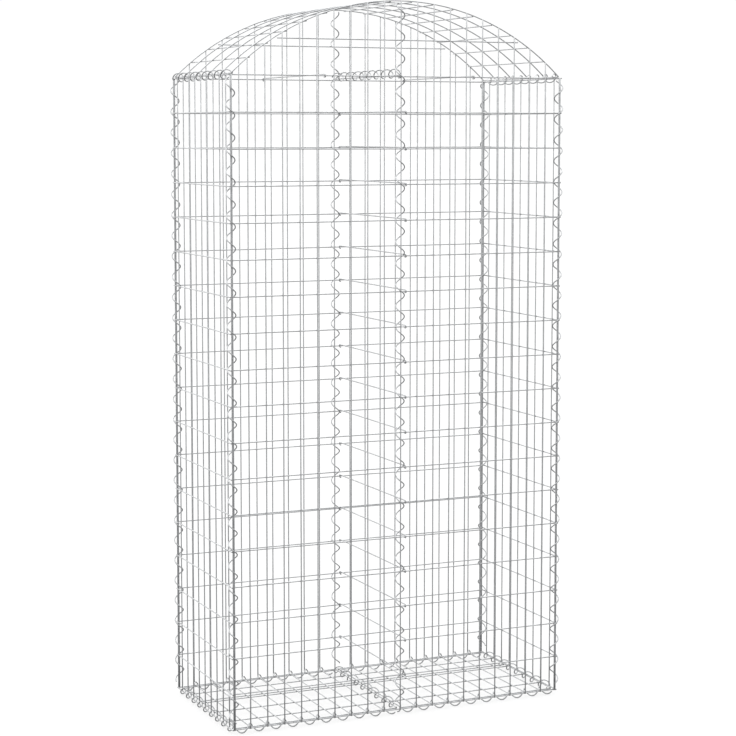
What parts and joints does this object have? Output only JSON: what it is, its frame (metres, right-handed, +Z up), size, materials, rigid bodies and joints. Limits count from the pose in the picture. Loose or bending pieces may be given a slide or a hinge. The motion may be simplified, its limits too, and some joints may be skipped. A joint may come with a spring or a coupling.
{
  "type": "gabion_basket",
  "caption": "Arched gabion basket of welded galvanised wire mesh, standing empty, with spiral lacing along its edges and hooked cross ties",
  "frame": {"origin": "middle of the bounding box at ground level", "axes": "+Z up, +X along the wall from left to right as seen from the front, +Y from the front to the back"},
  "size_m": [1.0222, 0.4848, 1.9957],
  "materials": {
    "galvanised_mesh": "dull zinc coat",
    "galvanised_lacing": "dull zinc coat"
  },
  "bodies": {
    "root": {"arched_roof": "galvanised_mesh", "back_wall": "galvanised_mesh", "corner_spiral_back_left": "galvanised_lacing", "corner_spiral_back_right": "galvanised_lacing", "corner_spiral_front_left": "galvanised_lacing", "corner_spiral_front_right": "galvanised_lacing", "cross_tie_01": "galvanised_lacing", "cross_tie_02": "galvanised_lacing", "cross_tie_03": "galvanised_lacing", "cross_tie_04": "galvanised_lacing", "cross_tie_05": "galvanised_lacing", "cross_tie_06": "galvanised_lacing", "cross_tie_07": "galvanised_lacing", "cross_tie_08": "galvanised_lacing", "cross_tie_09": "galvanised_lacing", "cross_tie_10": "galvanised_lacing", "cross_tie_11": "galvanised_lacing", "cross_tie_12": "galvanised_lacing", "cross_tie_13": "galvanised_lacing", "cross_tie_14": "galvanised_lacing", "cross_tie_15": "galvanised_lacing", "cross_tie_16": "galvanised_lacing", "cross_tie_17": "galvanised_lacing", "eave_spiral_left": "galvanised_lacing", "eave_spiral_middle": "galvanised_lacing", "eave_spiral_right": "galvanised_lacing", "eave_tie_left": "galvanised_lacing", "eave_tie_middle": "galvanised_lacing", "eave_tie_right": "galvanised_lacing", "floor_left": "galvanised_mesh", "floor_right": "galvanised_mesh", "floor_spiral_back_left": "galvanised_lacing", "floor_spiral_back_right": "galvanised_lacing", "floor_spiral_front_left": "galvanised_lacing", "floor_spiral_front_right": "galvanised_lacing", "floor_spiral_left": "galvanised_lacing", "floor_spiral_middle": "galvanised_lacing", "floor_spiral_right": "galvanised_lacing", "front_wall": "galvanised_mesh", "left_wall": "galvanised_mesh", "middle_spiral_back": "galvanised_lacing", "middle_spiral_front": "galvanised_lacing", "right_wall": "galvanised_mesh"}
  },
  "joints": []
}
